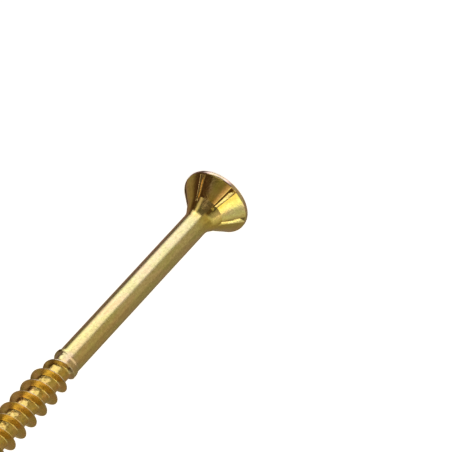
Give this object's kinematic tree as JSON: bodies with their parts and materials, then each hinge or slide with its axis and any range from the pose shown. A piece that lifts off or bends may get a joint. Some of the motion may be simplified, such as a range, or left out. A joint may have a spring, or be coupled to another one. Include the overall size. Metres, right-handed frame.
{
  "type": "wood screw",
  "caption": "Partly threaded countersunk wood screw with a lobed drive recess, pockets under the head and a sharp threaded point, in yellow-passivated steel.",
  "frame": {"origin": "centre of the head's flat face, which the screw stands on", "axes": "+Z along the screw's axis, from the head to the point"},
  "size_m": [0.0098, 0.0098, 0.09],
  "materials": {
    "head_zinc": "yellow-passivated zinc, semi-gloss",
    "shank_zinc": "yellow-passivated zinc, gloss with fine draw lines",
    "thread_zinc": "yellow-passivated zinc, semi-gloss, rolled",
    "point_zinc": "yellow-passivated zinc, semi-gloss, rolled"
  },
  "bodies": {
    "root": {"head": "head_zinc", "shank": "shank_zinc", "thread": "thread_zinc", "point": "point_zinc"}
  },
  "joints": []
}
